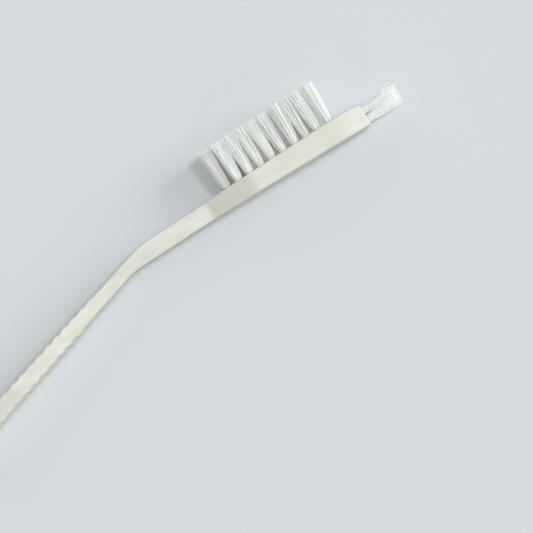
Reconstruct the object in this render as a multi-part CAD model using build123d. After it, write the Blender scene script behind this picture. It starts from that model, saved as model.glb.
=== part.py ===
"""Small one-piece brush with a bent, ribbed grip, rows of nylon tufts and an end tuft cluster.

Millimetres, +Z up. The brush lies on its side: +X runs along the head towards the tip, +Y is
the way the head's bristles point, and +Z is across the brush. The outlines are drawn in head
coordinates, whose origin is in the middle of the head's flat end face, and everything is moved
at the end, so that the origin is the middle of the bounding box on the resting surface.
"""

import math
import os

from build123d import *

# Handle, side view (head coordinates: X along the head, Y towards the bristles).
FACE_Y = 3.7  # the face that the tufts stand on
SHANK_BACK_Y = -1.5
HEAD_BACK_Y = -3.0  # the head is thicker than the shank, and its back slopes to this at the tip
HEAD_BACK_START_X = -48.0
TIP_TOP_Y = 3.1  # upper corner of the flat end face
TIP_SLOPE_LENGTH = 3.4
TIP_CORNER_RADIUS = 0.6
TIP_SLOPE_RADIUS = 5.0
HEAD_BACK_RADIUS = 60.0
BEND_ANGLE = 15.1
BEND_FACE_X = -69.8  # where the head's face line meets the grip's face line
BEND_FACE_RADIUS = 24.0
BEND_BACK_RADIUS = 18.0
GRIP_THICKNESS = 3.6  # at the bend
GRIP_TAPER = 0.0113  # and this much thicker for each millimetre along the grip
GRIP_LENGTH = 76.0  # from the bend to the rounded end

# Handle, plan view: half widths across the brush.
TIP_HALF_WIDTH = 3.55
HEAD_HALF_WIDTH = 5.2
SHANK_HALF_WIDTH = 2.6
GRIP_HALF_WIDTH = 5.2
HEAD_FULL_X = -9.7  # the head is at full width from here ...
SHOULDER_X = -34.6  # ... to here
NECK_X = -49.0  # and the shank starts here
GRIP_WIDENS_AT = 6.0  # from the bend, along the grip
GRIP_FULL_AT = 50.0
HEAD_PLAN_RADIUS = 44.0
SHOULDER_RADIUS = 15.0
NECK_RADIUS = 8.0
GRIP_PLAN_RADIUS = 40.0
BEND_OVERLAP = 6.0  # how far short of the bend the head's plan view ends, inside the grip's
EDGE_RADIUS = 0.4

# Ribs across the grip on both broad faces; those on the back sit half a pitch further on.
RIB_PITCH = 3.35
RIB_HEIGHT = 0.3
FACE_RIB_START = 18.45  # from the bend, along the grip
FACE_RIBS = 15
BACK_RIB_START = 26.8
BACK_RIBS = 12

# Tufts on the head: rows of two, and a middle column that stands in the gaps between the rows.
ROWS = 10
ROW_PITCH = 3.57
LAST_ROW_X = -9.3  # the row nearest the tip
ROW_WIDTH = 6.0  # across the brush, from tuft to tuft
NECK_ROW_WIDTH = 3.0  # in the row nearest the neck, where the head is still widening
MIDDLE_TUFTS = 7  # counted from the tip, so that the two gaps nearest the neck stay open
HOLE_DIAMETER = 2.0
HOLE_DEPTH = 3.3
BRISTLE_LENGTH = 12.0
TUFT_TOP_DIAMETER = 2.8

# Tufts in the end face, two by two.
END_TUFTS_Y = 0.05
END_PITCH_Y = 2.6
END_PITCH_Z = 3.0
END_BRISTLE_LENGTH = 11.4
END_TUFT_TIP_DIAMETER = 2.4

# Flat wire that staples the fold of each tuft to the bottom of its hole.
ANCHOR_THICKNESS = 0.3
ANCHOR_HEIGHT = 1.5
ANCHOR_LENGTH = 2.4  # more than the hole's diameter, so its ends bite into the plastic
ANCHOR_FROM_BOTTOM = 0.4
SLOT_GAP = 0.02

GRIP_DIRECTION = Vector(-1, 0).rotate(Axis.Z, BEND_ANGLE)
GRIP_NORMAL = Vector(0, 1).rotate(Axis.Z, BEND_ANGLE)
FACE_CORNER = Vector(BEND_FACE_X, FACE_Y)
PAST_ALL = 100.0  # reaches past the handle in every direction
FROM_BOTTOM = (Align.CENTER, Align.CENTER, Align.MIN)
BEND = math.radians(BEND_ANGLE)
BACK_CORNER_AT = (FACE_Y - SHANK_BACK_Y - math.cos(BEND) * GRIP_THICKNESS) / (
    math.sin(BEND) + math.cos(BEND) * GRIP_TAPER
)  # along the grip, where its back line meets the shank's


def on_face(distance, height=0.0):
    """Point over the grip's bristle side, at a distance from the bend along it."""
    return FACE_CORNER + GRIP_DIRECTION * distance + GRIP_NORMAL * height


def on_back(distance, height=0.0):
    """Point over the grip's back, at a distance from the bend along it."""
    return on_face(distance, -GRIP_THICKNESS - GRIP_TAPER * distance - height)


def rib_wave(place, start, ribs):
    """Smooth wave of rounded ribs on the line that place draws, one arc for each half wave."""
    quarter = RIB_PITCH / 4
    half_height = RIB_HEIGHT / 2
    end = start + ribs * RIB_PITCH
    along = place(end) - place(start)
    edges = TangentArc(place(start), place(start + quarter, half_height), tangent=along).edges()
    for i in range(2 * ribs - 1):
        s = start + (2 * i + 1) * quarter
        height = RIB_HEIGHT if i % 2 == 0 else 0
        left = place(s, half_height)
        right = place(s + 2 * quarter, half_height)
        edges += ThreePointArc(left, place(s + quarter, height), right).edges()
    edges += TangentArc(place(end), place(end - quarter, half_height), tangent=-along).edges()
    return edges


def side_outline():
    """Side view of the handle, without its rounded long edges."""
    middle = Vector(0, (TIP_TOP_Y + HEAD_BACK_Y) / 2)
    face_line = FilletPolyline(
        middle,
        (0, TIP_TOP_Y),
        (-TIP_SLOPE_LENGTH, FACE_Y),
        FACE_CORNER,
        on_face(FACE_RIB_START),
        radius=[TIP_CORNER_RADIUS, TIP_SLOPE_RADIUS, BEND_FACE_RADIUS],
    )
    end_line = Polyline(
        on_face(FACE_RIB_START + FACE_RIBS * RIB_PITCH),
        on_face(GRIP_LENGTH),
        on_back(GRIP_LENGTH),
        on_back(BACK_RIB_START + BACK_RIBS * RIB_PITCH),
    )
    back_line = FilletPolyline(
        on_back(BACK_RIB_START),
        on_back(BACK_CORNER_AT),
        (HEAD_BACK_START_X, SHANK_BACK_Y),
        (0, HEAD_BACK_Y),
        middle,
        radius=[BEND_BACK_RADIUS, HEAD_BACK_RADIUS, TIP_CORNER_RADIUS],
    )
    edges = face_line.edges() + end_line.edges() + back_line.edges()
    edges += rib_wave(on_face, FACE_RIB_START, FACE_RIBS)
    edges += rib_wave(on_back, BACK_RIB_START, BACK_RIBS)
    return make_face(Wire.combine(edges)[0].edges())


def plan_outline():
    """Plan view of the head and shank, as far as the bend."""
    half = [
        (0, TIP_HALF_WIDTH),
        (HEAD_FULL_X, HEAD_HALF_WIDTH),
        (SHOULDER_X, HEAD_HALF_WIDTH),
        (NECK_X, SHANK_HALF_WIDTH),
        (BEND_FACE_X + BEND_OVERLAP, SHANK_HALF_WIDTH),
    ]
    radii = [TIP_CORNER_RADIUS, HEAD_PLAN_RADIUS, SHOULDER_RADIUS, NECK_RADIUS]
    mirrored = [(x, -z) for x, z in reversed(half)]
    line = FilletPolyline((0, 0), *half, radius=radii)
    line += FilletPolyline(*mirrored, (0, 0), radius=radii[::-1])
    line += Line(half[-1], mirrored[0])
    return make_face(line.edges())


def grip_outline():
    """Plan view of the grip, with a half-round end: X is the distance from the bend, Y is across."""
    half = [
        (-2 * BEND_OVERLAP, SHANK_HALF_WIDTH),
        (GRIP_WIDENS_AT, SHANK_HALF_WIDTH),
        (GRIP_FULL_AT, GRIP_HALF_WIDTH),
        (GRIP_LENGTH - GRIP_HALF_WIDTH, GRIP_HALF_WIDTH),
    ]
    radii = [GRIP_PLAN_RADIUS, GRIP_PLAN_RADIUS]
    mirrored = [(x, -z) for x, z in reversed(half)]
    line = FilletPolyline(*half, radius=radii)
    line += ThreePointArc(half[-1], (GRIP_LENGTH, 0), mirrored[0])
    line += FilletPolyline(*mirrored, radius=radii)
    line += Line(half[0], mirrored[-1])
    return make_face(line.edges())


def is_seam(edge):
    """True for the straight edges across the outlines, which stay as they are."""
    if edge.geom_type != GeomType.LINE:
        return False
    direction = edge.tangent_at(0.5)
    across = (Vector(0, 0, 1), Vector(0, 1, 0), GRIP_NORMAL)
    return any(abs(direction.dot(axis)) > 0.999 for axis in across)


def handle_blank():
    """The handle without holes: its side view cut to its plan view, with rounded long edges."""
    side = extrude(side_outline(), amount=PAST_ALL, both=True)
    head_plan = extrude(Plane.XZ * plan_outline(), amount=PAST_ALL, both=True)
    grip_plane = Plane(origin=FACE_CORNER, x_dir=GRIP_DIRECTION, z_dir=GRIP_NORMAL)
    grip_plan = extrude(grip_plane * grip_outline(), amount=PAST_ALL, both=True)
    blank = (side & head_plan) + (side & grip_plan)
    return fillet([edge for edge in blank.edges() if not is_seam(edge)], EDGE_RADIUS)


def spread(count, pitch):
    """Evenly spaced positions about zero."""
    return [(i - (count - 1) / 2) * pitch for i in range(count)]


def face_plane(x, z):
    """Plane on the face that the head's tufts stand on."""
    return Plane(origin=(x, FACE_Y, z), x_dir=(1, 0, 0), z_dir=(0, 1, 0))


def tuft_places():
    """Name and plane of each tuft: its origin on the surface, its normal along the bristles."""
    places = []
    for row in range(ROWS):
        x = LAST_ROW_X - (ROWS - 1 - row) * ROW_PITCH
        width = NECK_ROW_WIDTH if row == 0 else ROW_WIDTH
        for side, z in enumerate(spread(2, width)):
            places.append((f"tuft_row_{row + 1:02}_{side + 1}", face_plane(x, z)))
    for i in range(MIDDLE_TUFTS):
        x = LAST_ROW_X - (MIDDLE_TUFTS - i - 0.5) * ROW_PITCH
        places.append((f"tuft_middle_{i + 1}", face_plane(x, 0)))
    corners = [(y, z) for y in spread(2, END_PITCH_Y) for z in spread(2, END_PITCH_Z)]
    for i, (y, z) in enumerate(corners):
        origin = (0, y + END_TUFTS_Y, z)
        places.append((f"end_tuft_{i + 1}", Plane(origin=origin, x_dir=(0, 0, 1), z_dir=(1, 0, 0))))
    return places


def tuft(length, tip_diameter):
    """One bundle of bristles: straight in its hole, flared above it."""
    radius = HOLE_DIAMETER / 2
    profile = Polyline(
        (0, -HOLE_DEPTH),
        (radius, -HOLE_DEPTH),
        (radius, 0),
        (tip_diameter / 2, length),
        (0, length),
        close=True,
    )
    return revolve(Plane.XZ * make_face(profile.edges()), Axis.Z)


def hole():
    """Blind hole for one tuft, run on above the surface to cut cleanly."""
    drill = Cylinder(HOLE_DIAMETER / 2, 2 * HOLE_DEPTH, align=FROM_BOTTOM)
    return Pos(0, 0, -HOLE_DEPTH) * drill


def anchor(gap=0.0):
    """Flat wire across the bottom of one hole, or with a gap, the slot that it bites."""
    size = (ANCHOR_LENGTH + 2 * gap, ANCHOR_THICKNESS + 2 * gap, ANCHOR_HEIGHT + 2 * gap)
    wire = Box(*size, align=FROM_BOTTOM)
    return Pos(0, 0, ANCHOR_FROM_BOTTOM - HOLE_DEPTH - gap) * wire


def assembly():
    """Every piece by its node's name, in head coordinates."""
    socket = hole() + anchor(SLOT_GAP)
    head_tuft = tuft(BRISTLE_LENGTH, TUFT_TOP_DIAMETER) - anchor()
    end_tuft = tuft(END_BRISTLE_LENGTH, END_TUFT_TIP_DIAMETER) - anchor()
    pieces = {}
    sockets = []
    anchors = {"head_tuft_anchors": [], "end_tuft_anchors": []}
    for name, plane in tuft_places():
        at_end = name.startswith("end")
        pieces[name] = plane * (end_tuft if at_end else head_tuft)
        sockets.append(plane * socket)
        anchors["end_tuft_anchors" if at_end else "head_tuft_anchors"].append(plane * anchor())
    pieces["handle"] = handle_blank() - sockets
    for name, wires in anchors.items():
        pieces[name] = Compound(children=wires)
    return pieces


def main():
    os.makedirs("parts", exist_ok=True)
    pieces = assembly()
    boxes = [piece.bounding_box() for piece in pieces.values()]
    x_middle = (min(box.min.X for box in boxes) + max(box.max.X for box in boxes)) / 2
    y_middle = (min(box.min.Y for box in boxes) + max(box.max.Y for box in boxes)) / 2
    z_low = min(box.min.Z for box in boxes)
    for name, piece in pieces.items():
        export_step(Pos(-x_middle, -y_middle, -z_low) * piece, f"parts/{name}.step")
    print(f"head coordinates' origin is at {-x_middle:.3f}, {-y_middle:.3f}, {-z_low:.3f}")


main()
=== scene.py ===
"""Looks of the small bent-handle brush: real bristle filaments, moulded plastic and a soft studio.

Everything is in metres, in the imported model's frame. The brush lies on its side: +X runs along
the head to the tip, +Y is the way the head's bristles point and +Z is up.
"""

import math
import random

import bpy
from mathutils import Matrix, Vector


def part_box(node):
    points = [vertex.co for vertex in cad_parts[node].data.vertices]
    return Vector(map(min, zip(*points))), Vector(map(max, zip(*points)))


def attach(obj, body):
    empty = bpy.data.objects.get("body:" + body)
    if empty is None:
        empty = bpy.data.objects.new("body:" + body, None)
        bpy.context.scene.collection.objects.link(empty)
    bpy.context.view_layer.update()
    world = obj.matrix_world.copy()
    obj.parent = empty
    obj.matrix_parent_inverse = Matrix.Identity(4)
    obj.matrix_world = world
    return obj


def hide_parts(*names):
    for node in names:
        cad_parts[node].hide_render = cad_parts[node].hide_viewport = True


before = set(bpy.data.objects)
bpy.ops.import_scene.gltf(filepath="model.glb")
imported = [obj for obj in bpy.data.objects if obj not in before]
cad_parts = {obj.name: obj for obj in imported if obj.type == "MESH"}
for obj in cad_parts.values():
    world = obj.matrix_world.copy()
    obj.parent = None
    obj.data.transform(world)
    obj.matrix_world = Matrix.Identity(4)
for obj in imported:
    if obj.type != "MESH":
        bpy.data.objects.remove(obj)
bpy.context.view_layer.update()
handle_low, handle_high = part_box("handle")

MM = 0.001
X = Vector((1, 0, 0))
Y = Vector((0, 1, 0))
Z = Vector((0, 0, 1))

# The head's face, which the tufts stand on, and the middle of its flat end face.
FACE_Y = handle_high.y
FACE_DROP = 3.7 * MM  # from the head's face down to the middle of its end face
TIP = Vector((handle_high.x, FACE_Y - FACE_DROP, (handle_low.z + handle_high.z) / 2))

# Camera, straight above the brush's side.
CAMERA_HEIGHT = 300 * MM
VIEW_WIDTH = 144.05 * MM  # seen across the picture, at the brush's middle plane
AIM = TIP + Vector((-44.2, -19.65, 0)) * MM
TURN = math.radians(33.0)  # the head runs up to the right at this angle in the picture
SENSOR = 36.0
CLIP_START = 10 * MM
CLIP_END = 10.0

# Studio. White bristles look bright because light goes on through many of them, so many bounces
# are followed.
DIFFUSE_BOUNCES = 16
ALL_BOUNCES = 24
FLOOR_COLOUR = (0.565, 0.589, 0.609, 1)
FLOOR_HALF = 6.0
WARM_WHITE = (1.0, 0.99, 0.97)
AMBIENT = 0.23

# What a noise texture's values mostly stay between.
NOISE_LOW = 0.3
NOISE_HIGH = 0.7

# Nylon: the translucent shader's share, and the streaks' noise along and across a filament, per metre.
NYLON_THROUGH = 0.42
STREAKS_ALONG = 130.0
STREAKS_ACROSS = 4500.0

# Filaments.
FILAMENT_RADIUS = 0.085 * MM
HOLE_RADIUS = 1.0 * MM
HOLE_GAP = 1.2 * FILAMENT_RADIUS  # from the hole's edge to the outermost strand's middle
BELOW_FACE = 1.2 * MM  # how far the strands are modelled into the hole
SIDES = 6
LEVELS = (0.0, 0.04, 0.12, 0.25, 0.45, 0.7, 1.0)  # rings above the hole, as shares of the length
ROUND_RISE = 0.65  # the rounded tip has one more ring, this far on ...
ROUND_SIZE = 0.72  # ... and this large, as shares of the filament's radius
GOLDEN_ANGLE = math.pi * (3 - math.sqrt(5))

# How each kind of tuft has settled, in millimetres: how many strands it has, its radius at the top,
# how far the top leans, and how much single strands wander, bow and differ in length. A tuft with
# fan under 1 spreads mostly near its hole, and one with fan over 1 mostly near its tips.
HEAD_HABIT = {
    "strands": 64, "top": 1.9, "lean": (-0.05, 0.0), "wander": 0.18, "bow": 0.1, "uneven": 0.12, "fan": 0.5,
}
END_HABIT = {
    "strands": 26, "top": 1.35, "lean": (0.75, 0.0), "wander": 0.6, "bow": 0.3, "uneven": 1.1, "fan": 1.2,
}
LEAN_SCATTER = 0.2  # how much the tufts differ in lean, in millimetres
STRAY_SHARE = 0.06  # of the strands ...
STRAY_WANDER = 1.8  # ... wander this many times as much as the others
CROWN = 0.01  # how much lower a tuft is cut at its edge than in its middle, as a share of its length
HEAD_SEED = 7
END_SEED = 11


# ---------------------------------------------------------------- node helpers


def new_material(name):
    """A node material, its tree and its Principled shader."""
    material = bpy.data.materials.new(name)
    material.use_nodes = True
    tree = material.node_tree
    shader = next(n for n in tree.nodes if n.type == "BSDF_PRINCIPLED")
    return material, tree, shader


def set_inputs(node, values):
    """Sets a node's own sockets, by name."""
    for key, value in values.items():
        node.inputs[key].default_value = value


def add_node(tree, kind, **values):
    """Adds a node and sets its inputs."""
    node = tree.nodes.new(kind)
    set_inputs(node, values)
    return node


def link(tree, start, output, end, entry):
    """Joins two nodes, by the names of their sockets."""
    tree.links.new(start.outputs[output], end.inputs[entry])


def scaled_noise(tree, place, scale, detail):
    """Noise over the object's own coordinates. scale is one number or one for each axis, per metre."""
    mapping = add_node(tree, "ShaderNodeMapping")
    mapping.inputs["Scale"].default_value = scale if hasattr(scale, "__len__") else (scale,) * 3
    noise = add_node(tree, "ShaderNodeTexNoise", Scale=1.0, Detail=detail)
    link(tree, place, "Object", mapping, "Vector")
    link(tree, mapping, "Vector", noise, "Vector")
    return noise


def stretch(tree, noise, low, high):
    """Map Range from what a noise mostly stays between to low and high."""
    node = add_node(tree, "ShaderNodeMapRange")
    set_inputs(node, {"From Min": NOISE_LOW, "From Max": NOISE_HIGH, "To Min": low, "To Max": high})
    link(tree, noise, "Fac", node, "Value")
    return node


def two_tone(tree, noise, dark, light):
    """Colour that drifts between two colours with a noise."""
    ramp = add_node(tree, "ShaderNodeValToRGB")
    ramp.color_ramp.elements[0].color = (*dark, 1)
    ramp.color_ramp.elements[1].color = (*light, 1)
    link(tree, stretch(tree, noise, 0.0, 1.0), "Result", ramp, "Fac")
    return ramp


def vary_roughness(tree, shader, noise, low, high):
    """Roughness that drifts between two values with a noise."""
    link(tree, stretch(tree, noise, low, high), "Result", shader, "Roughness")


def add_bump(tree, shader, noise, strength, depth):
    """Fine relief that follows a noise, depth in metres."""
    bump = add_node(tree, "ShaderNodeBump", Strength=strength, Distance=depth)
    link(tree, noise, "Fac", bump, "Height")
    link(tree, bump, "Normal", shader, "Normal")


# ---------------------------------------------------------------- camera, floor and light


def make_camera():
    """Looks straight down on the brush's side."""
    data = bpy.data.cameras.new("camera")
    data.sensor_width = SENSOR
    data.lens = SENSOR * CAMERA_HEIGHT / VIEW_WIDTH
    data.clip_start = CLIP_START
    data.clip_end = CLIP_END
    camera = bpy.data.objects.new("camera", data)
    camera.location = AIM + Vector((0, 0, CAMERA_HEIGHT))
    camera.rotation_euler = (0, 0, -TURN)
    bpy.context.scene.collection.objects.link(camera)
    bpy.context.scene.camera = camera


def set_tones_and_bounces():
    """Shows pale tones as they are, and lets light bounce on among the bristles."""
    scene = bpy.context.scene
    scene.view_settings.view_transform = "Standard"
    scene.cycles.diffuse_bounces = DIFFUSE_BOUNCES
    scene.cycles.max_bounces = ALL_BOUNCES


def make_floor():
    """Plain pale surface that the brush lies on."""
    material, tree, shader = new_material("floor_paper")
    set_inputs(shader, {"Base Color": FLOOR_COLOUR, "Roughness": 0.9})
    place = add_node(tree, "ShaderNodeTexCoord")
    grain = scaled_noise(tree, place, 900.0, detail=4.0)
    add_bump(tree, shader, grain, 0.15, 0.02 * MM)
    half = FLOOR_HALF
    corners = [(-half, -half, 0), (half, -half, 0), (half, half, 0), (-half, half, 0)]
    mesh = bpy.data.meshes.new("floor")
    mesh.from_pydata(corners, [], [(0, 1, 2, 3)])
    mesh.materials.append(material)
    floor = bpy.data.objects.new("floor", mesh)
    bpy.context.scene.collection.objects.link(floor)


def make_light(name, direction, spread, strength, colour):
    """Soft light, the same everywhere, from a direction. spread is how wide it looks, in degrees."""
    data = bpy.data.lights.new(name, "SUN")
    data.angle = math.radians(spread)
    data.energy = strength
    data.color = colour
    lamp = bpy.data.objects.new(name, data)
    lamp.rotation_mode = "QUATERNION"
    lamp.rotation_quaternion = Vector(direction).to_track_quat("Z", "Y")
    bpy.context.scene.collection.objects.link(lamp)


def make_world(colour, strength):
    """Even light from all round."""
    world = bpy.data.worlds.new("studio")
    world.use_nodes = True
    set_inputs(world.node_tree.nodes["Background"], {"Color": (*colour, 1), "Strength": strength})
    bpy.context.scene.world = world


def make_lights():
    """A low key past the tip, a light for the tip's gloss, one from above, two weak fills, the room."""
    make_light("key", (1.0, -0.05, 0.36), 32, 2.4, (0.93, 0.965, 1.0))
    make_light("sheen", (0.53, 0, 1), 12, 0.91, (0.95, 0.975, 1.0))
    make_light("top", (-0.05, 0, 1), 18, 1.15, (1.0, 1.0, 1.0))
    make_light("side", (-0.1, -1.0, 0.35), 40, 0.38, WARM_WHITE)
    make_light("back", (0.0, 1.0, 0.4), 40, 0.48, WARM_WHITE)
    make_world(WARM_WHITE, AMBIENT)


# ---------------------------------------------------------------- materials


def handle_plastic():
    """Satin ivory polypropylene: faint flow streaks, a fine moulded texture, rubbed patches."""
    material, tree, shader = new_material("handle_polypropylene")
    place = add_node(tree, "ShaderNodeTexCoord")
    clouds = scaled_noise(tree, place, 70.0, detail=2.0)
    colour = two_tone(tree, clouds, (0.525, 0.536, 0.457), (0.557, 0.57, 0.497))
    link(tree, colour, "Color", shader, "Base Color")
    rubbed = scaled_noise(tree, place, (120.0, 420.0, 420.0), detail=5.0)
    vary_roughness(tree, shader, rubbed, 0.32, 0.44)
    texture = scaled_noise(tree, place, 5200.0, detail=2.0)
    add_bump(tree, shader, texture, 0.5, 0.006 * MM)
    set_inputs(shader, {"IOR": 1.49, "Subsurface Weight": 0.3, "Subsurface Scale": 1.2 * MM})
    shader.inputs["Subsurface Radius"].default_value = (1.0, 0.9, 0.7)
    return material


def bristle_nylon(name, along):
    """Milky nylon filament that light shines through, with streaks along an axis (0 for X, 1 for Y)."""
    material, tree, shader = new_material(name)
    place = add_node(tree, "ShaderNodeTexCoord")
    scale = [STREAKS_ACROSS] * 3
    scale[along] = STREAKS_ALONG
    streaks = scaled_noise(tree, place, scale, detail=2.0)
    colour = two_tone(tree, streaks, (0.95, 0.96, 0.943), (0.985, 0.99, 0.978))
    link(tree, colour, "Color", shader, "Base Color")
    vary_roughness(tree, shader, streaks, 0.6, 0.45)
    set_inputs(shader, {"IOR": 1.53, "Sheen Weight": 0.3, "Sheen Roughness": 0.5})
    through = add_node(tree, "ShaderNodeBsdfTranslucent")
    link(tree, colour, "Color", through, "Color")
    mix = add_node(tree, "ShaderNodeMixShader", Fac=NYLON_THROUGH)
    tree.links.new(shader.outputs["BSDF"], mix.inputs[1])
    tree.links.new(through.outputs["BSDF"], mix.inputs[2])
    link(tree, mix, "Shader", tree.nodes["Material Output"], "Surface")
    return material


def anchor_brass():
    """Drawn flat wire with fine lines along it."""
    material, tree, shader = new_material("anchor_brass")
    place = add_node(tree, "ShaderNodeTexCoord")
    lines = scaled_noise(tree, place, (900.0, 9000.0, 9000.0), detail=4.0)
    colour = two_tone(tree, lines, (0.62, 0.48, 0.24), (0.80, 0.66, 0.38))
    link(tree, colour, "Color", shader, "Base Color")
    vary_roughness(tree, shader, lines, 0.28, 0.45)
    shader.inputs["Metallic"].default_value = 1.0
    return material


def dress(node, material):
    """Gives a CAD node its material."""
    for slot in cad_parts[node].material_slots:
        slot.material = material


def dress_cad_nodes():
    """The handle and the anchor wires keep their CAD meshes."""
    dress("handle", handle_plastic())
    brass = anchor_brass()
    dress("head_tuft_anchors", brass)
    dress("end_tuft_anchors", brass)


# ---------------------------------------------------------------- bristles


def scatter(rng, amount):
    """Random offset in two directions, in metres. amount is in millimetres."""
    return Vector((rng.gauss(0, amount), rng.gauss(0, amount))) * MM


def strand_line(root, axes, base, tip, length, bow, fan):
    """Centre line of one strand: straight in the hole, then fanning out to its tip."""
    along, across, third = axes
    points = [root - along * BELOW_FACE + across * base.x + third * base.y]
    for level in LEVELS:
        side = base + (tip - base) * level**fan + bow * math.sin(math.pi * level)
        points.append(root + along * length * level + across * side.x + third * side.y)
    return points


def add_strand(verts, faces, points, axes):
    """A closed tube round the line, with a rounded tip."""
    along, across, third = axes
    radius = FILAMENT_RADIUS
    tip = points[-1]
    rings = [(point, radius) for point in points]
    rings.append((tip + along * radius * ROUND_RISE, radius * ROUND_SIZE))
    first = len(verts)
    for centre, size in rings:
        for side in range(SIDES):
            angle = 2 * math.pi * side / SIDES
            verts.append(centre + (across * math.cos(angle) + third * math.sin(angle)) * size)
    for ring in range(len(rings) - 1):
        for side in range(SIDES):
            a = first + ring * SIDES + side
            b = first + ring * SIDES + (side + 1) % SIDES
            faces.append((a, b, b + SIDES, a + SIDES))
    verts.append(tip + along * radius)
    pole = len(verts) - 1
    last = first + (len(rings) - 1) * SIDES
    for side in range(SIDES):
        faces.append((last + side, last + (side + 1) % SIDES, pole))
    faces.append(tuple(first + side for side in reversed(range(SIDES))))


def make_tuft(node, root, axes, length, habit, material, rng):
    """Models one tuft's strands and shows them for the CAD tuft."""
    verts = []
    faces = []
    lean = Vector(habit["lean"]) * MM + scatter(rng, LEAN_SCATTER)
    room = min(root.z, handle_high.z - root.z) - 2 * FILAMENT_RADIUS  # to the brush's nearer side
    for i in range(habit["strands"]):
        distance = math.sqrt((i + 0.5) / habit["strands"])  # from the tuft's middle, up to 1
        angle = i * GOLDEN_ANGLE
        disc = Vector((math.cos(angle), math.sin(angle))) * distance
        stray = STRAY_WANDER if rng.random() < STRAY_SHARE else 1.0
        base = disc * (HOLE_RADIUS - HOLE_GAP)
        tip = disc * habit["top"] * MM + lean + scatter(rng, habit["wander"] * stray)
        tip.y = min(max(tip.y, -room), room)
        cut = length * (1 - CROWN * distance**2) - abs(rng.gauss(0, habit["uneven"])) * MM
        points = strand_line(root, axes, base, tip, cut, scatter(rng, habit["bow"]), habit["fan"])
        add_strand(verts, faces, points, axes)
    show_tuft(node, verts, faces, material)


def show_tuft(node, verts, faces, material):
    """Puts a tuft's strands into the scene as one mesh, which stands for the CAD tuft."""
    name = node.replace("tuft", "bristles")
    mesh = bpy.data.meshes.new(name)
    mesh.from_pydata(verts, [], faces)
    mesh.materials.append(material)
    mesh.shade_smooth()
    tuft = bpy.data.objects.new(name, mesh)
    bpy.context.scene.collection.objects.link(tuft)
    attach(tuft, "root")
    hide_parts(node)


def make_head_tufts():
    """The tufts that stand on the head, along +Y."""
    rng = random.Random(HEAD_SEED)
    material = bristle_nylon("bristle_nylon_head", 1)
    for node in sorted(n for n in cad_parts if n.startswith("tuft_")):
        low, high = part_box(node)
        root = Vector(((low.x + high.x) / 2, FACE_Y, (low.z + high.z) / 2))
        length = high.y - FACE_Y - FILAMENT_RADIUS
        make_tuft(node, root, (Y, X, Z), length, HEAD_HABIT, material, rng)


def make_end_tufts():
    """The tufts that point forward out of the end face, along +X."""
    rng = random.Random(END_SEED)
    material = bristle_nylon("bristle_nylon_end", 0)
    for node in sorted(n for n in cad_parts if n.startswith("end_tuft_") and "anchor" not in n):
        low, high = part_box(node)
        root = Vector((TIP.x, (low.y + high.y) / 2, (low.z + high.z) / 2))
        length = high.x - TIP.x - FILAMENT_RADIUS
        make_tuft(node, root, (X, Y, Z), length, END_HABIT, material, rng)


# ---------------------------------------------------------------- the scene

make_camera()
set_tones_and_bounces()
make_floor()
make_lights()
dress_cad_nodes()
make_head_tufts()
make_end_tufts()
